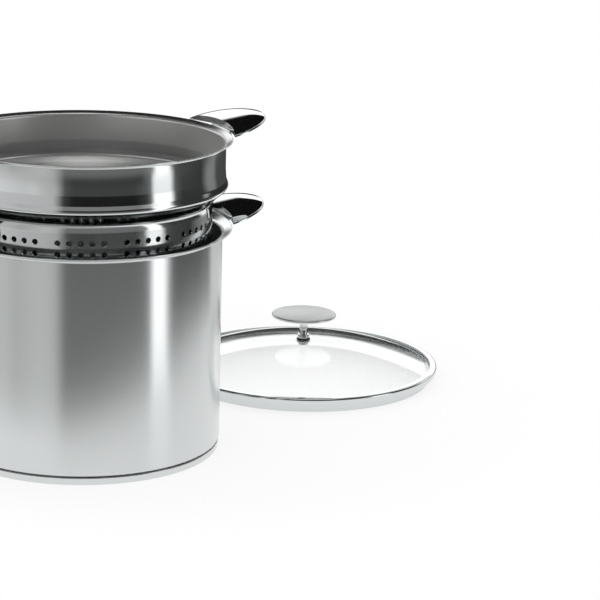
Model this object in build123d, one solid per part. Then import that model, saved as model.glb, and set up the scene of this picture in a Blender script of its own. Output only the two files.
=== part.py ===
from build123d import *
import math
import os

# A stockpot with a strainer insert drawn partly out of it, and its glass lid laid beside it.
# Lengths are millimetres and angles degrees. Z is up, the table is z = 0, the pot's axis is Z
# and its two handles point along +X and -X.

# Pot: drawn body, aluminium disc and steel base cap. Its wall's radius is the size that the
# insert, the handles and the lid follow
pot_radius = 120.0
pot_height = 198.0
pot_flare = 8.5
pot_rim_radius = pot_radius + pot_flare
pot_wall = 1.0
pot_corner_bend = 4.0
pot_rim_bend = 9.0
rim_slope = 20.0
base_cap_inset = 0.5
base_cap_radius = pot_radius - base_cap_inset
base_cap_height = 6.6
base_cap_wall = 0.8
base_cap_bend = 2.5
spreader_gap = 0.15

# Insert: plain collar that rests in the pot's rim, perforated basket below it. It is held with
# its rim this far above the pot's
insert_lift = 77.6
insert_rim_height = pot_height + insert_lift
insert_extra_height = 16.0
insert_height = pot_height + insert_extra_height
insert_rim_inset = 0.3
insert_rim_radius = pot_rim_radius - insert_rim_inset
insert_wall = 0.9
insert_rim_bend = 6.5
collar_overhang = 2.2
collar_radius = pot_radius + collar_overhang
collar_depth = 35.0
bead_overhang = 4.0
bead_radius = pot_radius + bead_overhang
bead_blend_depth = 3.5
bead_depth = 46.0
bead_bend = 5.0
bead_blend_bend = 3.0
shoulder_inset = 2.4
shoulder_inner_radius = pot_radius - shoulder_inset
shoulder_depth = 57.5
shoulder_bend = 5.0
seam_depth = 60.5
basket_inset = 9.0
basket_radius = pot_radius - basket_inset
basket_corner_bend = 12.0

# Holes of the basket: groups of columns round the wall, rings in the bottom. Each is a square
# with the opening of a round hole of 5.2 mm
hole_width = 4.6
group_count = 12
group_columns = 5
column_step = 5.0
group_turn = 5.0
first_row_depth = 68.6
row_pitch = 9.75
band_rows = 2
band_count = 3
band_pitch = 48.75
ring_count = 3
ring_pitch = 26.0
ring_spacing = 27.2

# Handles: a crowned steel disc, tilted up and cut away round the rim, on a welded bracket with
# two screws from below
wing_radius = 45.5
wing_centre_inset = 3.5
wing_centre = pot_rim_radius - wing_centre_inset
wing_rim_gap = 1.9
wing_inner_radius = pot_rim_radius + wing_rim_gap
wing_edge = 2.2
wing_crown = 2.6
wing_edge_round = 0.5
wing_tilt = 13.8
wing_rise = 1.7
bracket_half_width = 18.0
bracket_thickness = 2.5
bracket_drop = 31.0
bracket_bend_drop = 15.0
bracket_start = 2.0
bracket_length = 22.0
weld_gap = 0.1
screw_place = 14.0
screw_half_spacing = 11.0
screw_radius = 2.0
screw_bite = 3.0
screw_head_radius = 3.5
screw_head_height = 2.0
screw_clearance = 0.15

# Lid: domed glass in a rolled steel band, disc knob on a stem
lid_distance = 159.7
lid_x = pot_radius + lid_distance
lid_y = 107.4
lid_overhang = 2.5
lid_radius = pot_rim_radius + lid_overhang
lid_height = 14.4
skirt_inset = 5.0
skirt_radius = pot_rim_radius - skirt_inset
channel_floor = 7.6
channel_lip = 6.5
band_wall = 0.7
band_bend = 1.8
glass_thickness = 4.0
glass_apex = 36.0
glass_flat = 6.0
glass_play = 1.3
seal_width = 3.0
knob_radius = 31.2
knob_edge_height = 59.2
knob_edge = 1.4
knob_crown = 2.2
knob_belly = 3.4
knob_hub_radius = 9.0
stem_radius = 4.1
ferrule_radius = 5.6
ferrule_height = 4.4
gasket_radius = 6.6
gasket_thickness = 0.8
washer_radius = 7.5
washer_thickness = 1.0
lid_screw_radius = 2.0
lid_screw_bite = 12.0
lid_screw_head_radius = 4.2
lid_screw_head_height = 2.6
glass_hole_radius = 3.0
overrun = 5.0

cos_slope, sin_slope = math.cos(math.radians(rim_slope)), math.sin(math.radians(rim_slope))
cos_tilt, sin_tilt = math.cos(math.radians(wing_tilt)), math.sin(math.radians(wing_tilt))


# The far side of a sheet: the path's corners moved one wall to the left of the way it runs
def far_side(path, bends, wall):
    points = [Vector(*point) for point in path]
    ways = [(b - a).normalized() for a, b in zip(points, points[1:])]
    lefts = [Vector(-way.Y, way.X) for way in ways]
    corners = [points[0] + lefts[0] * wall]
    radii = []
    for before, after, point, bend in zip(lefts, lefts[1:], points[1:], bends):
        corners.append(point + (before + after) * (wall / (1 + before.dot(after))))
        turns_left = before.cross(after).Z > 0
        radii.append((bend - wall if turns_left else bend + wall) if bend else 0.0)
    corners.append(points[-1] + lefts[-1] * wall)
    return corners, radii


# A bent sheet turned about Z
def turned_sheet(path, bends, wall):
    corners, radii = far_side(path, bends, wall)
    outline = [Vector(*point) for point in path] + corners[::-1]
    rounds = [0.0] + list(bends) + [0.0, 0.0] + radii[::-1] + [0.0]
    face = make_face(FilletPolyline(*outline, radius=rounds, close=True))
    return revolve(Plane.XZ * face, Axis.Z)


# A solid of revolution from straight corners, some of them rounded
def turned(outline, rounds):
    face = make_face(FilletPolyline(*outline, radius=rounds, close=True))
    return revolve(Plane.XZ * face, Axis.Z)


def disc(radius, height, z):
    return Pos(0, 0, z) * Cylinder(radius, height, align=(Align.CENTER, Align.CENTER, Align.MIN))


# How far a crown of the given rise over a circle falls away at a smaller radius
def crown_drop(radius, rise, at):
    ball = (radius**2 + rise**2) / (2 * rise)
    return ball - math.sqrt(ball**2 - at**2)


# The crown's arc, from the axis out to the circle
def crown_arc(radius, rise, apex):
    half = radius / 2
    middle = apex - crown_drop(radius, rise, half)
    return ThreePointArc((0, apex), (half, middle), (radius, apex - rise))


# Corners of a flared rim, from the top of the straight wall out to the lip
def flare(wall_radius, lip_radius, crest, wall):
    lip_z = crest - wall * cos_slope
    return [(wall_radius, lip_z - (lip_radius - wall_radius) * sin_slope / cos_slope), (lip_radius, lip_z)]


# Pot
def pot_shell():
    path = [(0, base_cap_height), (pot_radius, base_cap_height)]
    path += flare(pot_radius, pot_rim_radius, pot_height, pot_wall)
    bends = [pot_corner_bend, pot_rim_bend]
    return turned_sheet(path, bends, pot_wall)


def pot_base_cap():
    path = [(0, 0), (base_cap_radius, 0), (base_cap_radius, base_cap_height - spreader_gap)]
    return turned_sheet(path, [base_cap_bend], base_cap_wall)


def pot_heat_spreader():
    radius = base_cap_radius - base_cap_wall - spreader_gap
    outline = [(0, base_cap_wall), (radius, base_cap_wall), (radius, base_cap_height), (0, base_cap_height)]
    return turned(outline, [0, base_cap_bend - base_cap_wall, 0, 0])


# Insert, measured down from the crest of its rim
def insert_z(depth):
    return insert_rim_height - depth


def insert_collar():
    path = [
        (basket_radius, insert_z(seam_depth)),
        (basket_radius, insert_z(shoulder_depth)),
        (shoulder_inner_radius, insert_z(bead_depth)),
        (bead_radius, insert_z(bead_depth)),
        (bead_radius, insert_z(collar_depth + bead_blend_depth)),
        (collar_radius, insert_z(collar_depth)),
    ]
    path += flare(collar_radius, insert_rim_radius, insert_rim_height, insert_wall)
    bends = [shoulder_bend, bead_blend_bend, bead_bend, bead_blend_bend, bead_blend_bend, insert_rim_bend]
    return turned_sheet(path, bends, insert_wall)


def hole_bar(length):
    return extrude(Rectangle(hole_width, hole_width), length)


def wall_holes():
    start = basket_radius - insert_wall - overrun
    bar = Pos(start, 0, 0) * Rot(0, 90, 0) * hole_bar(insert_wall + 2 * overrun)
    holes = []
    rows = [band * band_pitch + row * row_pitch for band in range(band_count) for row in range(band_rows)]
    for row_depth in rows:
        z = insert_z(first_row_depth + row_depth)
        for group in range(group_count):
            for column in range(group_columns):
                across = (column - (group_columns - 1) / 2) * column_step
                turn = group_turn + group * 360 / group_count + across
                holes.append(Rot(0, 0, turn) * Pos(0, 0, z) * bar)
    return holes


def bottom_holes():
    bar = Pos(0, 0, insert_z(insert_height) - overrun) * hole_bar(insert_wall + 2 * overrun)
    holes = [bar]
    for ring in range(1, ring_count + 1):
        count = round(2 * math.pi * ring * ring_pitch / ring_spacing)
        for place in range(count):
            holes.append(Rot(0, 0, place * 360 / count) * Pos(ring * ring_pitch, 0, 0) * bar)
    return holes


def insert_basket():
    bottom = insert_z(insert_height)
    path = [(0, bottom), (basket_radius, bottom), (basket_radius, insert_z(seam_depth))]
    return turned_sheet(path, [basket_corner_bend], insert_wall) - wall_holes() - bottom_holes()


# Handles, built on the +X side with the rim's crest at rim_z. The wing's flat underside: x runs
# outward and up from where the rim cuts it, z is square to it
def wing_plane(rim_z):
    inward = (wing_inner_radius - wing_centre) / cos_tilt
    centre = Vector(wing_centre + wing_edge * sin_tilt, 0, rim_z + wing_rise - wing_edge * cos_tilt)
    way = Vector(cos_tilt, 0, sin_tilt)
    return Plane(origin=centre + way * inward, x_dir=way, z_dir=(-sin_tilt, 0, cos_tilt))


def handle_wing(rim_z):
    inward = (wing_inner_radius - wing_centre) / cos_tilt
    apex = wing_edge + wing_crown
    outline = crown_arc(wing_radius, wing_crown, apex)
    outline += Polyline((wing_radius, wing_edge), (wing_radius, 0), (0, 0), (0, apex))
    face = make_face(outline)
    rim_corners = face.vertices().sort_by(Axis.X)[-2:]
    section = Plane.XZ * fillet(rim_corners, wing_edge_round)
    plate = wing_plane(rim_z) * Pos(-inward, 0, 0) * revolve(section, Axis.Z)
    plate -= disc(wing_inner_radius, 2 * wing_radius, rim_z - wing_radius)
    for side in (-1, 1):
        socket = Pos(screw_place, side * screw_half_spacing, 0) * disc(screw_radius + screw_clearance, screw_bite, 0)
        plate -= wing_plane(rim_z) * socket
    return plate


def handle_bracket(rim_z, wall_radius):
    plane = wing_plane(rim_z)
    start = plane.from_local_coords(Vector(bracket_start, 0, 0))
    tip = plane.from_local_coords(Vector(bracket_start + bracket_length, 0, 0))
    tip_under = plane.from_local_coords(Vector(bracket_start + bracket_length, 0, -bracket_thickness))
    knee_under = plane.from_local_coords(Vector(bracket_start + bracket_thickness, 0, -bracket_thickness))
    hollow = wall_radius - math.sqrt(wall_radius**2 - bracket_half_width**2)
    back = wall_radius - hollow
    face = wall_radius + bracket_thickness
    outline = [
        (back, rim_z - bracket_drop),
        (face, rim_z - bracket_drop),
        (face, rim_z - bracket_bend_drop - bracket_thickness),
        (knee_under.X, knee_under.Z),
        (tip_under.X, tip_under.Z),
        (tip.X, tip.Z),
        (start.X, start.Z),
        (back, rim_z - bracket_bend_drop),
    ]
    profile = Plane.XZ * make_face(Polyline(*outline, close=True))
    body = extrude(profile, bracket_half_width, both=True)
    body -= disc(wall_radius + weld_gap, bracket_drop + overrun, rim_z - bracket_drop - overrun / 2)
    for side in (-1, 1):
        hole = Pos(screw_place, side * screw_half_spacing, -2 * bracket_thickness) * disc(
            screw_radius + screw_clearance, 2 * bracket_thickness, 0
        )
        body -= plane * hole
    return body


def handle_screws(rim_z):
    head = disc(screw_head_radius, screw_head_height, -bracket_thickness - screw_head_height)
    shank = disc(screw_radius, bracket_thickness + screw_bite - screw_clearance, -bracket_thickness)
    screw = head + shank
    places = [Pos(screw_place, side * screw_half_spacing, 0) for side in (-1, 1)]
    return [wing_plane(rim_z) * place * screw for place in places]


def other_side(shape):
    return Rot(0, 0, 180) * shape


# Lid, built on the Z axis with the skirt's edge at z = 0
def lid_place(shape):
    return Pos(lid_x, lid_y, 0) * shape


def lid_band():
    path = [
        (skirt_radius, 0),
        (skirt_radius, channel_floor),
        (lid_radius, channel_floor),
        (lid_radius, lid_height),
        (lid_radius - channel_lip, lid_height),
    ]
    return turned_sheet(path, [0.0, band_bend, band_bend], band_wall)


glass_edge = lid_radius - band_wall - glass_play
glass_seat = channel_floor + band_wall
glass_flat_radius = glass_edge - glass_flat


def lid_glass():
    top = glass_seat + glass_thickness
    below = glass_apex - glass_thickness
    outline = crown_arc(glass_flat_radius, glass_apex - top, glass_apex)
    outline += Polyline((glass_flat_radius, top), (glass_edge, top), (glass_edge, glass_seat),
                        (glass_flat_radius, glass_seat))
    outline += crown_arc(glass_flat_radius, below - glass_seat, below)
    outline += Line((0, below), (0, glass_apex))
    dome = revolve(Plane.XZ * make_face(outline), Axis.Z)
    return dome - disc(glass_hole_radius, glass_apex, 0)


def lid_seal():
    low = glass_seat + glass_thickness
    high = lid_height - band_wall
    inner = lid_radius - channel_lip
    outline = [(inner, low), (inner + seal_width, low), (inner + seal_width, high), (inner, high)]
    return turned(outline, [0, 0, 0, 0])


stem_foot = glass_apex + gasket_thickness + ferrule_height
knob_under = knob_edge_height - knob_belly
glass_rise = glass_apex - glass_seat - glass_thickness
washer_top = glass_apex - glass_thickness - crown_drop(glass_flat_radius, glass_rise, washer_radius)


def lid_knob():
    edge_top = knob_edge_height + knob_edge
    outline = crown_arc(knob_radius, knob_crown, edge_top + knob_crown)
    outline += Polyline(
        (knob_radius, edge_top),
        (knob_radius, knob_edge_height),
        (knob_hub_radius, knob_under),
        (0, knob_under),
        (0, edge_top + knob_crown),
    )
    return revolve(Plane.XZ * make_face(outline), Axis.Z)


def lid_stem():
    stem = disc(stem_radius, knob_under - stem_foot, stem_foot)
    return stem - disc(lid_screw_radius + screw_clearance, lid_screw_bite, stem_foot)


def lid_ferrule():
    low = glass_apex + gasket_thickness
    bore = lid_screw_radius + screw_clearance
    outline = [(bore, low), (ferrule_radius, low), (ferrule_radius, stem_foot), (bore, stem_foot)]
    return turned(outline, [0, ferrule_radius - stem_radius - screw_clearance, 0, 0])


def ring(outer, inner, height, z):
    return disc(outer, height, z) - disc(inner, height, z)


def lid_screw():
    head_z = washer_top - washer_thickness - lid_screw_head_height
    tip_z = stem_foot + lid_screw_bite - screw_clearance
    head = disc(lid_screw_head_radius, lid_screw_head_height, head_z)
    return head + disc(lid_screw_radius, tip_z - head_z, head_z)


def all_nodes():
    rims = {"pot": (pot_height, pot_radius), "insert": (insert_rim_height, collar_radius)}
    nodes = {
        "pot_shell": pot_shell(),
        "pot_heat_spreader": pot_heat_spreader(),
        "pot_base_cap": pot_base_cap(),
        "insert_collar": insert_collar(),
        "insert_basket": insert_basket(),
    }
    for owner, (rim_z, wall_radius) in rims.items():
        wing = handle_wing(rim_z)
        bracket = handle_bracket(rim_z, wall_radius)
        screws = handle_screws(rim_z)
        nodes[owner + "_handle_right"] = wing
        nodes[owner + "_handle_left"] = other_side(wing)
        nodes[owner + "_bracket_right"] = bracket
        nodes[owner + "_bracket_left"] = other_side(bracket)
        nodes[owner + "_handle_screws"] = Compound(screws + [other_side(screw) for screw in screws])
    bore = lid_screw_radius + screw_clearance
    nodes["lid_band"] = lid_place(lid_band())
    nodes["lid_glass"] = lid_place(lid_glass())
    nodes["lid_seal"] = lid_place(lid_seal())
    nodes["lid_knob"] = lid_place(lid_knob())
    nodes["lid_knob_stem"] = lid_place(lid_stem())
    nodes["lid_knob_ferrule"] = lid_place(lid_ferrule())
    nodes["lid_knob_gasket"] = lid_place(ring(gasket_radius, bore, gasket_thickness, glass_apex))
    washer_under = washer_top - washer_thickness
    nodes["lid_knob_washer"] = lid_place(ring(washer_radius, bore, washer_thickness, washer_under))
    nodes["lid_knob_screw"] = lid_place(lid_screw())
    return nodes


os.makedirs("parts", exist_ok=True)
for name, shape in all_nodes().items():
    export_step(shape, f"parts/{name}.step")
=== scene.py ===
import math
import bpy
from mathutils import Matrix, Vector


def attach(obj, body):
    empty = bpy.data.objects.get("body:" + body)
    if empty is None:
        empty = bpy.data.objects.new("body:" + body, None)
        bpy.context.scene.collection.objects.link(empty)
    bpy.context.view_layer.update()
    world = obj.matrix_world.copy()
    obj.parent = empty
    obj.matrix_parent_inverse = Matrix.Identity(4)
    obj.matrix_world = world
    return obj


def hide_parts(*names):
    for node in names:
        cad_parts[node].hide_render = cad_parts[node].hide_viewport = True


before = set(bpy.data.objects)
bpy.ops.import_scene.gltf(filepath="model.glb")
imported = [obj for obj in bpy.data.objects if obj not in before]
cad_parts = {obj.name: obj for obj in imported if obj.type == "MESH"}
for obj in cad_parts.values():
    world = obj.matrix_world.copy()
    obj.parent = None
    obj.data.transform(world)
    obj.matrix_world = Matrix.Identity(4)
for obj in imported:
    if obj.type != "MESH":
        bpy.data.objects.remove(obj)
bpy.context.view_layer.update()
print("frame loaded")

# Pot axis at the origin, table at z = 0, handles along +X and -X. Metres. The camera's place,
# how far it looks down, turns and rolls, and its lens
view = {
    "from": (-0.8164, -1.8715, 0.6691),
    "down": math.radians(14.713),
    "turn": math.radians(-28.876),
    "roll": math.radians(1.489),
    "lens": 144.22,
    "sensor": 36.0,
    "clipEnd": 20,
}
lidCentre = (0.2797, 0.1074)
roundSteps = 288
mergeWithin = {"turned": 2e-7, "solid": 2e-6, "basket": 2e-5}
lipShare = 0.48


# A node's output, which takes part in sums
class Wire:
    def __init__(self, tree, socket):
        self.tree, self.socket = tree, socket

    def maths(self, how, *others):
        node = self.tree.nodes.new("ShaderNodeMath")
        node.operation = how
        for place, value in enumerate((self, *others)):
            plug(self.tree, node.inputs[place], value)
        return Wire(self.tree, node.outputs[0])

    def __add__(self, other): return self.maths("ADD", other)
    def __radd__(self, other): return self.maths("ADD", other)
    def __sub__(self, other): return self.maths("SUBTRACT", other)
    def __mul__(self, other): return self.maths("MULTIPLY", other)
    def __truediv__(self, other): return self.maths("DIVIDE", other)


# Sets a socket, or links it if the value comes from a node
def plug(tree, socket, value):
    if isinstance(value, Wire):
        tree.links.new(value.socket, socket)
    else:
        socket.default_value = value


class Nodes:
    def __init__(self, tree):
        self.tree = tree
        tree.nodes.clear()

    def add(self, kind, settings=(), sockets=(), out=0):
        node = self.tree.nodes.new("ShaderNode" + kind)
        for key, value in dict(settings).items():
            if key == "stops":
                for place, (where, level) in enumerate(value):
                    stops = node.color_ramp.elements
                    stop = stops[place] if place < len(stops) else stops.new(where)
                    stop.position, stop.color = where, level
            else:
                setattr(node, key, value)
        for key, value in dict(sockets).items():
            plug(self.tree, node.inputs[key], value)
        return Wire(self.tree, node.outputs[out]) if node.outputs else node

    def slope(self, value, low, high, start=0.0, end=1.0):
        limits = {0: value, 1: low, 2: high, 3: start, 4: end}
        return self.add("MapRange", {"interpolation_type": "SMOOTHSTEP"}, limits)


def newMaterial(name):
    material = bpy.data.materials.new(name)
    material.use_nodes = True
    return material, Nodes(material.node_tree)


def finish(nodes, shader):
    nodes.add("OutputMaterial", {}, {"Surface": shader})


def deselectAll():
    for thing in bpy.context.selected_objects:
        thing.select_set(False)


# The same path with each corner rounded by its own radius
def roundOff(corners, radii, arcStep=math.radians(7.5)):
    points = []
    for place, (corner, radius) in enumerate(zip(corners, radii)):
        here = Vector(corner)
        if radius == 0.0:
            points.append(here)
            continue
        before = (Vector(corners[place - 1]) - here).normalized()
        after = (Vector(corners[(place + 1) % len(corners)]) - here).normalized()
        half = before.angle(after) / 2
        middle = here + (before + after).normalized() * (radius / math.sin(half))
        start = here + before * (radius / math.tan(half)) - middle
        end = here + after * (radius / math.tan(half)) - middle
        sweep = math.pi - 2 * half
        pieces = max(2, math.ceil(sweep / arcStep))
        for step in range(pieces + 1):
            share = step / pieces
            near, far = math.sin(sweep * (1 - share)), math.sin(sweep * share)
            points.append(middle + (start * near + end * far) / math.sin(sweep))
    return points


# A bent sheet's outline: its path, and the same path one wall to its left
def sheetOutline(path, bends, wall, lip):
    points = [Vector(point) for point in path]
    ways = [(b - a).normalized() for a, b in zip(points, points[1:])]
    lefts = [Vector((-way.y, way.x)) for way in ways]
    far, farBends = [points[0] + lefts[0] * wall], []
    for before, after, point, bend in zip(lefts, lefts[1:], points[1:], bends):
        far.append(point + (before + after) * (wall / (1 + before.dot(after))))
        turnsLeft = before.x * after.y - before.y * after.x > 0
        farBends.append(bend - wall if turnsLeft else bend + wall)
    far.append(points[-1] + lefts[-1] * wall)
    radii = [0.0] + list(bends) + [lip, lip] + farBends[::-1] + [0.0]
    return roundOff(points + far[::-1], radii)


# Extrudes a vertex from point to point of the outline and spins it round the axis
def turnPiece(name, outline, closed=True, centre=(0.0, 0.0), steps=roundSteps):
    deselectAll()
    bpy.ops.mesh.primitive_plane_add(size=0.001, location=(0, 0, 0))
    piece = bpy.context.object
    piece.name = name
    bpy.ops.object.mode_set(mode="EDIT")
    bpy.ops.mesh.merge(type="CENTER")
    bpy.ops.transform.translate(value=(centre[0] + outline[0][0], centre[1], outline[0][1]))
    stops = list(outline[1:]) + ([outline[0]] if closed else [])
    here = outline[0]
    for stop in stops:
        move = (stop[0] - here[0], 0, stop[1] - here[1])
        bpy.ops.mesh.extrude_vertices_move(TRANSFORM_OT_translate={"value": move})
        here = stop
    bpy.ops.mesh.select_all(action="SELECT")
    bpy.ops.mesh.spin(steps=steps, angle=2 * math.pi, center=(*centre, 0), axis=(0, 0, 1))
    bpy.ops.mesh.select_all(action="SELECT")
    bpy.ops.mesh.remove_doubles(threshold=mergeWithin["turned"])
    bpy.ops.mesh.normals_make_consistent(inside=False)
    bpy.ops.object.mode_set(mode="OBJECT")
    smooth(piece)
    return piece


def applyModifier(piece, kind, **settings):
    deselectAll()
    piece.select_set(True)
    bpy.context.view_layer.objects.active = piece
    modifier = piece.modifiers.new(kind.lower(), kind)
    for key, value in settings.items():
        setattr(modifier, key, value)
    bpy.ops.object.modifier_apply(modifier=modifier.name)


def joinAll(pieces):
    deselectAll()
    for piece in pieces:
        piece.select_set(True)
    bpy.context.view_layer.objects.active = pieces[0]
    bpy.ops.object.join()
    return pieces[0]


def cutAway(piece, cutter):
    applyModifier(piece, "BOOLEAN", operation="DIFFERENCE", solver="FAST", object=cutter)
    bpy.data.objects.remove(cutter)


def smooth(piece, angle=math.radians(32)):
    deselectAll()
    piece.select_set(True)
    bpy.context.view_layer.objects.active = piece
    bpy.ops.object.shade_smooth_by_angle(angle=angle)


def dress(piece, material, body, node):
    piece.data.materials.clear()
    piece.data.materials.append(material)
    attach(piece, body)
    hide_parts(node)


# Gives a solid that is shown as it is its finish
def recoat(node, material):
    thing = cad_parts[node]
    thing.data.materials.clear()
    thing.data.materials.append(material)


# Points of a shallow dome from its top out to its radius
def crownPoints(radius, rise, apex, count=40):
    ball = (radius**2 + rise**2) / (2 * rise)
    steps = [radius * step / count for step in range(count + 1)]
    return [Vector((at, apex - ball + math.sqrt(ball**2 - at**2))) for at in steps]


steelTone = (0.68, 0.70, 0.70, 1)
polishLook = {
    "turnedMarks": (60, 60, 5200), "evenMarks": (900, 900, 900), "clouds": 22.0, "uneven": 0.03,
    "facesOut": -0.03, "facesIn": -0.06,
}


# 1 where a turned sheet faces its axis, 0 where it faces outward
def innerSide(nodes, place, centre):
    toAxis = {"Vector": place, "Location": (-centre[0], -centre[1], 0), "Scale": (1, 1, 0)}
    fromAxis = nodes.add("Mapping", {}, toAxis)
    facing = nodes.add("NewGeometry", out=1)
    ways = {0: fromAxis, 1: facing}
    outward = nodes.add("VectorMath", {"operation": "DOT_PRODUCT"}, ways, out=1)
    return nodes.slope(outward, polishLook["facesOut"], polishLook["facesIn"])


def noise(nodes, place, scale, detail, **more):
    settings = {"Vector": place, "Scale": scale, "Detail": detail, **more}
    return nodes.add("TexNoise", {}, settings)


def bumpFrom(nodes, height, strength, distance):
    return nodes.add("Bump", {}, {"Height": height, "Strength": strength, "Distance": distance})


# Polished steel: clear reflections, hair-fine marks and a slight cloudiness. The inside of a
# turned piece can have a softer finish of its own, and a lighter tone there that is painted
# light, brightening its inner wall
def polishedSteel(name, roughness=0.06, turned=True, inside=None, centre=(0.0, 0.0)):
    material, nodes = newMaterial(name)
    place = nodes.add("TexCoord", out=3)
    stretch = polishLook["turnedMarks"] if turned else polishLook["evenMarks"]
    marks = nodes.add("Mapping", {}, {"Vector": place, "Scale": stretch})
    fine = noise(nodes, marks, 1.0, 2.0)
    cloud = noise(nodes, place, polishLook["clouds"], 3.0)
    uneven = polishLook["uneven"]
    rough = roughness + (fine - 0.5) * uneven + (cloud - 0.5) * uneven
    tone = steelTone
    if inside:
        mask = innerSide(nodes, place, centre)
        rough = rough + mask * (inside["roughness"] - roughness)
        # Painted light: the side facing the axis gets a lighter tone, which brightens the inner
        # wall
        tones = {0: mask, 6: tone, 7: inside["tone"]}
        tone = nodes.add("Mix", {"data_type": "RGBA"}, tones, out=2)
    finish(nodes, nodes.add("BsdfPrincipled", {}, {
        "Base Color": tone, "Metallic": 1.0, "Roughness": rough,
    }))
    return material


satinLook = {
    "roughness": 0.21, "spread": 0.92, "spreadTurn": 0.25, "rings": (30, 30, 4200), "clouds": 14.0,
    "ringUneven": 0.05, "cloudUneven": 0.03, "bump": 0.02, "bumpDepth": 0.0002,
}


# Satin steel: rings of fine brushing round the body that spread light up and down
def satinSteel(name):
    material, nodes = newMaterial(name)
    place = nodes.add("TexCoord", out=3)
    rings = nodes.add("Mapping", {}, {"Vector": place, "Scale": satinLook["rings"]})
    fine = noise(nodes, rings, 1.0, 3.0, Roughness=0.6)
    cloud = noise(nodes, place, satinLook["clouds"], 3.0)
    rough = satinLook["roughness"] + (fine - 0.5) * satinLook["ringUneven"]
    rough = rough + (cloud - 0.5) * satinLook["cloudUneven"]
    bump = bumpFrom(nodes, fine, satinLook["bump"], satinLook["bumpDepth"])
    finish(nodes, nodes.add("BsdfPrincipled", {}, {
        "Base Color": steelTone, "Metallic": 1.0, "Roughness": rough,
        "Anisotropic": satinLook["spread"], "Anisotropic Rotation": satinLook["spreadTurn"],
        "Normal": bump,
    }))
    return material


plainLook = {
    "clouds": 40.0, "grain": 1400.0, "cloudUneven": 0.08, "grainUneven": 0.05, "bump": 0.05,
    "bumpDepth": 0.0002,
}


# Even, slightly grained metal
def plainSteel(name, tone=(0.64, 0.66, 0.66, 1), roughness=0.24):
    material, nodes = newMaterial(name)
    place = nodes.add("TexCoord", out=3)
    cloud = noise(nodes, place, plainLook["clouds"], 4.0)
    fine = noise(nodes, place, plainLook["grain"], 2.0)
    rough = roughness + (cloud - 0.5) * plainLook["cloudUneven"]
    rough = rough + (fine - 0.5) * plainLook["grainUneven"]
    bump = bumpFrom(nodes, fine, plainLook["bump"], plainLook["bumpDepth"])
    finish(nodes, nodes.add("BsdfPrincipled", {}, {
        "Base Color": tone, "Metallic": 1.0, "Roughness": rough, "Normal": bump,
    }))
    return material


glassLook = {
    "tone": (0.985, 0.995, 0.99, 1), "bending": 1.47, "waves": 9.0, "bump": 0.02,
    "bumpDepth": 0.001, "shadow": (0.96, 0.97, 0.97, 1),
}


# Clear glass, without a black shadow under it
def clearGlass(name):
    material, nodes = newMaterial(name)
    place = nodes.add("TexCoord", out=3)
    cloud = noise(nodes, place, glassLook["waves"], 2.0)
    wave = bumpFrom(nodes, cloud, glassLook["bump"], glassLook["bumpDepth"])
    glass = nodes.add("BsdfPrincipled", {}, {
        "Base Color": glassLook["tone"], "Roughness": 0.0, "IOR": glassLook["bending"],
        "Transmission Weight": 1.0, "Normal": wave,
    })
    clear = nodes.add("BsdfTransparent", {}, {"Color": glassLook["shadow"]})
    shadowRay = nodes.add("LightPath", out=1)
    finish(nodes, nodes.add("MixShader", {}, {0: shadowRay, 1: glass, 2: clear}))
    return material


rubberLook = {
    "grain": 1800.0, "roughness": 0.55, "uneven": 0.2, "bump": 0.1, "bumpDepth": 0.0003,
}


def rubberFinish(name, tone=(0.02, 0.02, 0.022, 1)):
    material, nodes = newMaterial(name)
    place = nodes.add("TexCoord", out=3)
    grain = noise(nodes, place, rubberLook["grain"], 3.0)
    rough = rubberLook["roughness"] + (grain - 0.5) * rubberLook["uneven"]
    bump = bumpFrom(nodes, grain, rubberLook["bump"], rubberLook["bumpDepth"])
    finish(nodes, nodes.add("BsdfPrincipled", {}, {
        "Base Color": tone, "Roughness": rough, "Normal": bump,
    }))
    return material


# The insides' rougher finish is real; their lighter tones are painted light that brightens the
# inner walls
collarInsideFinishAndPaintedLight = {"roughness": 0.38, "tone": (0.86, 0.86, 0.85, 1)}
bandInsideFinishAndPaintedLight = {"roughness": 0.42, "tone": (0.84, 0.86, 0.87, 1)}
mirror = polishedSteel("mirrorSteel")
collarSteel = polishedSteel("collarSteel", roughness=0.08, inside=collarInsideFinishAndPaintedLight)
bandSteel = polishedSteel("bandSteel", inside=bandInsideFinishAndPaintedLight, centre=lidCentre)
wingMirror = polishedSteel("wingSteel", roughness=0.03, turned=False)
satin = satinSteel("satinSteel")
basketSteel = plainSteel("basketSteel", (0.62, 0.64, 0.64, 1), 0.09)
knobSteel = plainSteel("knobSteel", (0.70, 0.71, 0.71, 1), 0.3)
bracketSteel = plainSteel("bracketSteel")
screwSteel = plainSteel("screwSteel", (0.55, 0.55, 0.55, 1), 0.3)
aluminium = plainSteel("spreaderAluminium", (0.78, 0.78, 0.79, 1), 0.4)
glass = clearGlass("lidGlass")
rubber = rubberFinish("darkRubber")
silicone = rubberFinish("greySilicone", (0.42, 0.44, 0.45, 1))
print("finishes made")


pot = {
    "radius": 0.120, "height": 0.198, "rimRadius": 0.1285, "wall": 0.001, "cornerBend": 0.004,
    "rimBend": 0.003, "slope": math.radians(20), "floor": 0.0066, "capRadius": 0.1195,
    "capWall": 0.0008, "capBend": 0.0025, "capTop": 0.00645,
}


# The foot and the lip of a flared rim whose outer edge ends at the crest's height
def flare(wallRadius, lipRadius, crest, wall, slope):
    lipZ = crest - wall * math.cos(slope)
    return [(wallRadius, lipZ - (lipRadius - wallRadius) * math.tan(slope)), (lipRadius, lipZ)]


path = [(0, pot["floor"]), (pot["radius"], pot["floor"])]
path += flare(pot["radius"], pot["rimRadius"], pot["height"], pot["wall"], pot["slope"])
bends = [pot["cornerBend"], pot["rimBend"]]
outline = sheetOutline(path, bends, pot["wall"], pot["wall"] * lipShare)
dress(turnPiece("potShell", outline, closed=False), satin, "pot", "pot_shell")

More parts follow.
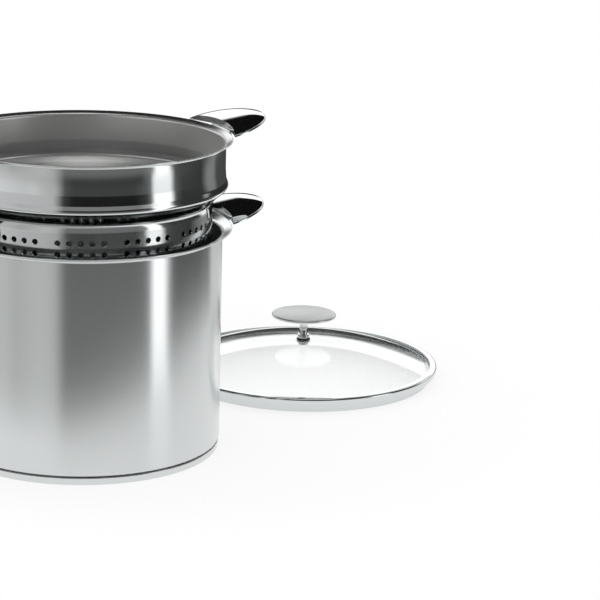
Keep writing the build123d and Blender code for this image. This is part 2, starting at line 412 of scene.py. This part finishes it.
path = [(0, 0), (pot["capRadius"], 0), (pot["capRadius"], pot["capTop"])]
outline = sheetOutline(path, [pot["capBend"]], pot["capWall"], pot["capWall"] * lipShare)
cap = turnPiece("potBaseCap", outline, closed=False)
dress(cap, mirror, "pot", "pot_base_cap")
recoat("pot_heat_spreader", aluminium)
print("pot made")


# Depths are measured down from the insert's rim
insert = {
    "rim": 0.2756, "height": 0.214, "rimRadius": 0.1282, "wall": 0.0009, "collarRadius": 0.1220,
    "collarDepth": 0.026, "swellRadius": 0.1227, "swellDepth": 0.0345, "beadRadius": 0.1251,
    "beadDepth": 0.0407, "ledgeRadius": 0.118, "ledgeDepth": 0.0460, "coveDepth": 0.0535,
    "seamDepth": 0.0605, "basketRadius": 0.111, "cornerBend": 0.012,
    "bends": (0.011, 0.004, 0.004, 0.004, 0.02, 0.002),
}


def insertZ(depth):
    return insert["rim"] - depth


path = [
    (insert["basketRadius"], insertZ(insert["seamDepth"])),
    (insert["basketRadius"], insertZ(insert["coveDepth"])),
    (insert["ledgeRadius"], insertZ(insert["ledgeDepth"])),
    (insert["beadRadius"], insertZ(insert["beadDepth"])),
    (insert["swellRadius"], insertZ(insert["swellDepth"])),
    (insert["collarRadius"], insertZ(insert["collarDepth"])),
]
path += flare(
    insert["collarRadius"], insert["rimRadius"], insert["rim"], insert["wall"], pot["slope"],
)
outline = sheetOutline(path, insert["bends"], insert["wall"], insert["wall"] * lipShare)
collar = turnPiece("insertCollar", outline)
dress(collar, collarSteel, "insert", "insert_collar")

holes = {
    "radius": 0.0026, "groups": 12, "inGroup": 5, "turn": math.radians(-7.5), "firstDepth": 0.0686,
    "pitch": 0.00975, "bands": 3, "bandRows": 2, "gapRows": 3, "sides": 16, "cellCuts": 4,
    "reach": 0.45, "rings": 3, "ringPitch": 0.026, "firstRing": 6, "drillSides": 20,
    "drillDepth": 0.006,
}
cellWidth = 2 * math.pi * insert["basketRadius"] / (holes["groups"] * (holes["inGroup"] + 1))


# One flat cell of the wall. A hole is made by drawing its inner edges in to a circle
def wallCell(rows, withHole):
    deselectAll()
    bpy.ops.mesh.primitive_grid_add(
        x_subdivisions=holes["cellCuts"], y_subdivisions=rows, size=1, location=(0, 0, 0),
    )
    cell = bpy.context.object
    bpy.ops.object.mode_set(mode="EDIT")
    bpy.ops.transform.resize(value=(cellWidth, holes["pitch"], 1))
    if withHole:
        bpy.ops.mesh.select_mode(type="VERT")
        bpy.ops.mesh.select_all(action="DESELECT")
        bpy.ops.object.mode_set(mode="OBJECT")
        reach = (cellWidth * holes["reach"], holes["pitch"] * holes["reach"])
        for vertex in cell.data.vertices:
            vertex.select = abs(vertex.co.x) < reach[0] and abs(vertex.co.y) < reach[1]
        bpy.ops.object.mode_set(mode="EDIT")
        bpy.ops.mesh.delete(type="VERT")
        bpy.ops.mesh.select_all(action="SELECT")
        bpy.ops.mesh.extrude_edges_move()
        bpy.ops.object.mode_set(mode="OBJECT")
        step = 2 * math.pi / holes["sides"]
        for vertex in cell.data.vertices:
            if vertex.select:
                turn = round(math.atan2(vertex.co.y, vertex.co.x) / step) * step
                vertex.co = (holes["radius"] * math.cos(turn), holes["radius"] * math.sin(turn), 0)
    else:
        bpy.ops.object.mode_set(mode="OBJECT")
    return cell


def repeat(piece, count, x=0.0, y=0.0):
    applyModifier(
        piece, "ARRAY", count=count, use_relative_offset=False, use_constant_offset=True,
        constant_offset_displace=(x, y, 0),
    )


def moveTo(piece, move, turn=(0, 0, 0)):
    deselectAll()
    piece.select_set(True)
    bpy.context.view_layer.objects.active = piece
    piece.location, piece.rotation_euler = move, turn
    bpy.ops.object.transform_apply(location=True, rotation=True, scale=True)


# The wall is laid out flat, rolled up by a bend, and joined to its spun hem and bottom
cuts = holes["cellCuts"]
holed, endCell, plain = wallCell(cuts, True), wallCell(cuts, False), wallCell(1, False)
repeat(holed, holes["inGroup"], x=cellWidth)
moveTo(endCell, (holes["inGroup"] * cellWidth, 0, 0))
holed = joinAll([holed, endCell])
bandPitch = (holes["bandRows"] + holes["gapRows"]) * holes["pitch"]
repeat(holed, holes["bandRows"], y=-holes["pitch"])
repeat(holed, holes["bands"], y=-bandPitch)
moveTo(plain, (0, -holes["bandRows"] * holes["pitch"], 0))
repeat(plain, holes["inGroup"] + 1, x=cellWidth)
repeat(plain, holes["gapRows"], y=-holes["pitch"])
repeat(plain, holes["bands"] - 1, y=-bandPitch)
wall = joinAll([holed, plain])
repeat(wall, holes["groups"], x=(holes["inGroup"] + 1) * cellWidth)
roundLength = 2 * math.pi * insert["basketRadius"]
moveTo(wall, ((cellWidth - roundLength) / 2, 0, 0))
moveTo(wall, (0, 0, insertZ(holes["firstDepth"])), (math.pi / 2, 0, 0))
applyModifier(wall, "SIMPLE_DEFORM", deform_method="BEND", deform_axis="Z", angle=2 * math.pi)
moveTo(wall, (0, -insert["basketRadius"], 0))
moveTo(wall, (0, 0, 0), (0, 0, holes["turn"]))
wallTop = insertZ(holes["firstDepth"] - holes["pitch"] / 2)
wallRows = holes["bands"] * holes["bandRows"] + (holes["bands"] - 1) * holes["gapRows"]
wallFoot = wallTop - wallRows * holes["pitch"]
hemTop = insertZ(insert["seamDepth"])
corners = [(insert["basketRadius"], hemTop), (insert["basketRadius"], wallTop)]
hem = turnPiece("hem", corners, closed=False)
bottomZ = insertZ(insert["height"])
corners = [(insert["basketRadius"], wallFoot), (insert["basketRadius"], bottomZ), (0, bottomZ)]
bottom = turnPiece("bottom", roundOff(corners, [0.0, insert["cornerBend"], 0.0]), closed=False)
basket = joinAll([wall, hem, bottom])
basket.name = "insertBasket"
bpy.ops.object.mode_set(mode="EDIT")
bpy.ops.mesh.select_all(action="SELECT")
bpy.ops.mesh.remove_doubles(threshold=mergeWithin["basket"])
bpy.ops.mesh.normals_make_consistent(inside=False)
bpy.ops.object.mode_set(mode="OBJECT")
applyModifier(basket, "SOLIDIFY", thickness=insert["wall"], offset=-1.0)

# The bottom's holes stand in rings round one in the middle
drills = []
for ring in range(holes["rings"] + 1):
    count = max(1, ring * holes["firstRing"])
    out = ring * holes["ringPitch"]
    for turn in [2 * math.pi * step / count for step in range(count)]:
        deselectAll()
        bpy.ops.mesh.primitive_cylinder_add(
            vertices=holes["drillSides"], radius=holes["radius"], depth=holes["drillDepth"],
            location=(out * math.cos(turn), out * math.sin(turn), bottomZ),
        )
        drills.append(bpy.context.object)
cutAway(basket, joinAll(drills))
smooth(basket)
dress(basket, basketSteel, "insert", "insert_basket")
print("insert made")


lid = {
    "radius": 0.13099, "height": 0.0144, "skirt": 0.1235, "floor": 0.0076, "lip": 0.0065,
    "wall": 0.0007, "bends": (0.0012, 0.0018, 0.0018), "lipShare": 0.4, "glass": 0.004,
    "apex": 0.036, "flat": 0.006, "play": 0.0013, "hole": 0.003,
}
path = [
    (lid["skirt"], 0), (lid["skirt"], lid["floor"]), (lid["radius"], lid["floor"]),
    (lid["radius"], lid["height"]), (lid["radius"] - lid["lip"], lid["height"]),
]
outline = sheetOutline(path, lid["bends"], lid["wall"], lid["wall"] * lid["lipShare"])
band = turnPiece("lidBand", outline, centre=lidCentre)
dress(band, bandSteel, "lid", "lid_band")

# The glass: a flat edge that lies in the band, and a dome with a hole for the knob's screw
edge = lid["radius"] - lid["wall"] - lid["play"]
seat = lid["floor"] + lid["wall"]
flatRadius = edge - lid["flat"]
domeRise = lid["apex"] - seat - lid["glass"]
top = crownPoints(flatRadius, domeRise, lid["apex"])
below = crownPoints(flatRadius, domeRise, lid["apex"] - lid["glass"])
top = [point for point in top if point.x > lid["hole"]]
below = [point for point in below if point.x > lid["hole"]]
top[0].x = below[0].x = lid["hole"]
outline = top + [Vector((edge, seat + lid["glass"])), Vector((edge, seat))] + below[::-1]
dress(turnPiece("lidDome", outline, centre=lidCentre), glass, "lid", "lid_glass")

knob = {
    "radius": 0.0312, "edgeBottom": 0.0592, "edge": 0.0026, "crown": 0.0008, "crownInset": 0.0005,
    "crownSteps": 24, "trim": 4, "belly": 0.0034, "hub": 0.009, "roundSteps": 192,
    "bends": (0.0, 0.0012, 0.0012, 0.002, 0.0),
}
edgeTop = knob["edgeBottom"] + knob["edge"]
under = knob["edgeBottom"] - knob["belly"]
crownRadius = knob["radius"] - knob["crownInset"]
crown = crownPoints(crownRadius, knob["crown"], edgeTop + knob["crown"], knob["crownSteps"])
corners = [
    crown[-knob["trim"]], (knob["radius"], edgeTop), (knob["radius"], knob["edgeBottom"]),
    (knob["hub"], under), (0, under),
]
outline = crown[:-knob["trim"]] + roundOff(corners, knob["bends"])
disc = turnPiece("lidKnob", outline, closed=False, centre=lidCentre, steps=knob["roundSteps"])
dress(disc, knobSteel, "lid", "lid_knob")
recoat("lid_knob_stem", mirror)
recoat("lid_knob_ferrule", mirror)
recoat("lid_knob_gasket", rubber)
recoat("lid_seal", silicone)
recoat("lid_knob_washer", screwSteel)
recoat("lid_knob_screw", screwSteel)
print("lid made")


# The cutter is turned a little, so that none of its corners meets a corner of the wing
handle = {
    "radius": 0.0453, "centre": 0.125, "innerRadius": 0.1304, "edge": 0.0022, "height": 0.0054,
    "bow": 0.6, "shoulderAt": 0.026, "shoulder": 400.0, "crownTo": 0.0440, "crownSteps": 60,
    "edgeRound": 0.0013, "arcStep": math.radians(6), "tilt": math.radians(13.8), "rise": 0.0017,
    "cutterHeight": 0.1, "cutterTurn": 0.007,
}


# The wing's top falls away slowly at first and faster near its edge
def wingDrop(at):
    past = max(0.0, at - handle["shoulderAt"])
    return handle["bow"] * at**2 + handle["shoulder"] * past**3


# The wing is spun flat as a crowned disc, tilted into place and cut round the rim
def wingPiece(name, rimZ, left):
    count = handle["crownSteps"]
    steps = [handle["crownTo"] * step / count for step in range(count + 1)]
    top = [Vector((at, handle["height"] - wingDrop(at))) for at in steps]
    last = top[-1] - top[-2]
    edgeZ = top[-1].y + last.y / last.x * (handle["radius"] - top[-1].x)
    corners = [top[-1], (handle["radius"], edgeZ), (handle["radius"], 0), (0, 0)]
    radii = [0.0, handle["edgeRound"], 0.0, 0.0]
    outline = top[:-1] + roundOff(corners, radii, handle["arcStep"])
    piece = turnPiece(name, outline, closed=False)
    out = handle["centre"] + handle["edge"] * math.sin(handle["tilt"])
    up = rimZ + handle["rise"] - handle["edge"] * math.cos(handle["tilt"])
    moveTo(piece, (out, 0, up), (0, -handle["tilt"], 0))
    moveTo(piece, (0, 0, 0), (0, 0, math.pi if left else 0))
    deselectAll()
    bpy.ops.mesh.primitive_cylinder_add(
        vertices=roundSteps, radius=handle["innerRadius"], depth=handle["cutterHeight"],
        location=(0, 0, rimZ), rotation=(0, 0, handle["cutterTurn"]),
    )
    cutAway(piece, bpy.context.object)
    smooth(piece)
    return piece


bracket = {
    "edgeRound": 0.0005, "roundSteps": 3, "flatAngle": math.radians(1),
    "sharpAngle": math.radians(40),
}


# A copy of a bracket's solid with its facets merged and its edges eased
def easedCopy(name, node):
    deselectAll()
    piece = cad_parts[node].copy()
    piece.data = piece.data.copy()
    piece.name = name
    bpy.context.collection.objects.link(piece)
    piece.parent = None
    piece.select_set(True)
    bpy.context.view_layer.objects.active = piece
    bpy.ops.object.mode_set(mode="EDIT")
    bpy.ops.mesh.select_all(action="SELECT")
    bpy.ops.mesh.remove_doubles(threshold=mergeWithin["solid"])
    bpy.ops.mesh.dissolve_limited(angle_limit=bracket["flatAngle"])
    bpy.ops.object.mode_set(mode="OBJECT")
    applyModifier(
        piece, "BEVEL", width=bracket["edgeRound"], segments=bracket["roundSteps"],
        limit_method="ANGLE", angle_limit=bracket["sharpAngle"],
    )
    smooth(piece)
    return piece


rims = {"pot": pot["height"], "insert": insert["rim"]}
for owner, rimZ in rims.items():
    for side in ("right", "left"):
        wing = wingPiece(f"{owner}Wing{side.capitalize()}", rimZ, side == "left")
        dress(wing, wingMirror, owner, f"{owner}_handle_{side}")
        plate = easedCopy(f"{owner}Bracket{side.capitalize()}", f"{owner}_bracket_{side}")
        dress(plate, bracketSteel, owner, f"{owner}_bracket_{side}")
    recoat(f"{owner}_handle_screws", screwSteel)
print("handles made")


# The floor is a disc that fades into the white background. "white" is how far it glows by
# itself under the object, and the rest of it takes the shadow
stage = {
    "centre": (0.13, 0.09), "radius": 0.42, "sides": 128, "below": 0.0002, "fadeFrom": 0.28,
    "fadeTo": 0.41, "white": 0.82, "paintedGlowThroughGlass": 0.26, "tone": (0.85, 0.85, 0.85, 1),
}
deselectAll()
bpy.ops.mesh.primitive_circle_add(
    vertices=stage["sides"], radius=stage["radius"], fill_type="NGON", location=(0, 0, 0),
)
floor = bpy.context.object
floor.name = "floor"
bpy.ops.object.mode_set(mode="EDIT")
bpy.ops.transform.translate(value=(*stage["centre"], -stage["below"]))
bpy.ops.object.mode_set(mode="OBJECT")
material, nodes = newMaterial("paleFloor")
place = nodes.add("TexCoord", out=3)
toMiddle = (-stage["centre"][0], -stage["centre"][1], 0)
centred = nodes.add("Mapping", {}, {"Vector": place, "Location": toMiddle})
distance = nodes.add("VectorMath", {"operation": "LENGTH"}, {0: centred}, out=1)
white = nodes.slope(distance, stage["fadeFrom"], stage["fadeTo"], stage["white"], 1.0)
cameraRay, glossyRay, glassRay = [nodes.add("LightPath", out=ray) for ray in (0, 3, 6)]
seen = (cameraRay + glossyRay + glassRay).maths("MINIMUM", 1.0)
matte = nodes.add("BsdfDiffuse", {}, {"Color": stage["tone"]})
# Painted light: the floor glows brighter where it is seen through the glass, cancelling the shade
# under the lid
glowPaintedBrighterThroughGlass = glassRay * stage["paintedGlowThroughGlass"] + 1.0
glow = nodes.add("Emission", {}, {"Color": glowPaintedBrighterThroughGlass, "Strength": 1.0})
finish(nodes, nodes.add("MixShader", {}, {0: white * seen, 1: matte, 2: glow}))
floor.data.materials.append(material)

# Studio: white to the camera. In the metal it is a room of pale and dark walls, given band by
# band from the floor up, each from its height in degrees: pairs of bearing and level, the
# bearing 0 toward the camera's side and growing to its right
roomTurn = math.radians(-23)
room = (
    {"from": -90, "blend": 1, "walls": (
        (-180, 0.9), (-120, 0.9), (-112, 0.35), (-88, 0.45), (-80, 0.55), (-20, 0.45), (40, 0.36),
        (60, 0.9), (72, 0.9), (80, 0.4), (126, 0.4), (134, 0.9), (180, 0.9),
    )},
    {"from": -38, "blend": 6, "walls": (
        (-180, 1.0), (-120, 1.0), (-112, 0.25), (-88, 0.25), (-80, 0.60), (-67, 0.56),
        (-60, 0.48), (-50, 0.54), (-40, 0.60), (-33, 0.62), (-25, 0.53), (-16, 0.20), (30, 0.20),
        (48, 0.20), (56, 0.3), (60.5, 1.8), (70, 1.8), (74, 0.12), (86, 0.05), (126, 0.05),
        (134, 1.1), (180, 1.0),
    )},
    {"from": -13.9, "blend": 0.4, "walls": (
        (-180, 0.6), (-120, 0.6), (-112, 0.25), (-88, 0.25), (-80, 0.70), (-50, 0.60),
        (-25, 0.50), (-16, 0.06), (-9, 0.025), (45, 0.025), (54, 0.2), (57, 1.3), (72, 1.3),
        (77, 0.10), (108, 0.05), (128, 0.25), (134, 0.4), (180, 0.4),
    )},
    {"from": -12.7, "blend": 0.6, "walls": (
        (-180, 0.05), (-120, 0.05), (-112, 0.25), (-88, 0.25), (-80, 0.90), (-60, 0.79),
        (-50, 0.73), (-41, 0.77), (-33, 0.64), (-23, 0.55), (-16, 0.10), (-9, 0.065), (40, 0.065),
        (50, 0.12), (54, 0.2), (57, 1.15), (72, 1.2), (76.5, 0.14), (84, 0.06), (108, 0.045),
        (118, 0.28), (128, 0.25), (134, 0.08), (180, 0.05),
    )},
    {"from": -6, "blend": 2, "walls": (
        (-180, 0.03), (-120, 0.03), (-112, 0.25), (-88, 0.25), (-80, 0.70), (-25, 0.60),
        (-17, 0.05), (-9, 0.012), (40, 0.012), (50, 0.05), (54, 0.2), (57, 1.5), (72, 1.5),
        (76.5, 0.10), (84, 0.04), (108, 0.04), (118, 0.03), (180, 0.03),
    )},
    {"from": 9, "blend": 4, "walls": (
        (-180, 1.4), (-120, 1.4), (-112, 0.25), (-88, 0.25), (-80, 0.70), (-25, 0.60),
        (-17, 0.05), (-9, 0.012), (40, 0.012), (50, 0.05), (54, 0.2), (57, 1.5), (72, 1.5),
        (76.5, 0.10), (84, 0.04), (108, 0.04), (118, 1.4), (180, 1.4),
    )},
    {"from": 21.6, "blend": 1, "walls": (
        (-180, 0.006), (-125, 0.006), (-115, 0.30), (-80, 0.55), (-25, 0.60), (-17, 0.25),
        (45, 0.25), (54, 0.5), (58, 1.0), (72, 1.0), (78, 0.15), (126, 0.10), (132, 1.3),
        (146, 1.3), (150, 0.006), (180, 0.006),
    )},
    {"from": 34, "blend": 4, "walls": (
        (-180, 0.006), (-115, 0.02), (126, 0.02), (132, 1.3), (146, 1.3), (150, 0.006),
        (180, 0.006),
    )},
    {"from": 73, "blend": 4, "walls": (
        (-180, 1.1), (180, 1.1),
    )},
)
world = bpy.data.worlds.new("studio")
bpy.context.scene.world = world
world.use_nodes = True
nodes = Nodes(world.node_tree)
way = nodes.add("TexCoord", out=0)
across = (math.cos(roomTurn), math.sin(roomTurn), 0)
toward = (math.sin(roomTurn), -math.cos(roomTurn), 0)
sideways = nodes.add("VectorMath", {"operation": "DOT_PRODUCT"}, {0: way, 1: across}, out=1)
forward = nodes.add("VectorMath", {"operation": "DOT_PRODUCT"}, {0: way, 1: toward}, out=1)
bearing = sideways.maths("ARCTAN2", forward) / (2 * math.pi) + 0.5
height = nodes.add("SeparateXYZ", {}, {0: way}, out=2)
seenRoom = None
for band in room:
    stops = [((angle + 180) / 360, (level, level, level, 1)) for angle, level in band["walls"]]
    walls = nodes.add("ValToRGB", {"stops": stops}, {0: bearing})
    if seenRoom is None:
        seenRoom = walls
        continue
    edges = [math.sin(math.radians(band["from"] + band["blend"] * side)) for side in (-0.5, 0.5)]
    up = nodes.slope(height, *edges)
    seenRoom = nodes.add("Mix", {"data_type": "RGBA"}, {0: up, 6: seenRoom, 7: walls}, out=2)
glossy = nodes.add("LightPath", out=3)
blank = nodes.add("Background", {}, {"Color": (1, 1, 1, 1), "Strength": 1.0})
shown = nodes.add("Background", {}, {"Color": seenRoom, "Strength": 1.0})
both = nodes.add("MixShader", {}, {0: glossy, 1: blank, 2: shown})
nodes.add("OutputWorld", {}, {"Surface": both})

lamps = {
    "key": {"at": (-0.9, -0.9, 1.7), "size": 1.3, "power": 6.0},
    "fill": {"at": (1.3, -0.3, 1.3), "size": 1.2, "power": 3.0},
}
for name, lamp in lamps.items():
    deselectAll()
    bpy.ops.object.light_add(type="AREA", location=lamp["at"])
    light = bpy.context.object
    light.name = name
    light.data.size, light.data.energy = lamp["size"], lamp["power"]
    light.rotation_euler = (-Vector(lamp["at"])).to_track_quat("-Z", "Y").to_euler()
    light.visible_glossy = False

deselectAll()
aim = Matrix.Rotation(view["turn"], 3, "Z") @ Matrix.Rotation(math.pi / 2 - view["down"], 3, "X")
aim = aim @ Matrix.Rotation(view["roll"], 3, "Z")
bpy.ops.object.camera_add(location=view["from"], rotation=aim.to_euler())
camera = bpy.context.object
camera.data.lens, camera.data.sensor_width = view["lens"], view["sensor"]
camera.data.clip_end = view["clipEnd"]
scene = bpy.context.scene
scene.camera = camera
scene.view_settings.view_transform = "Standard"
print("stage made")
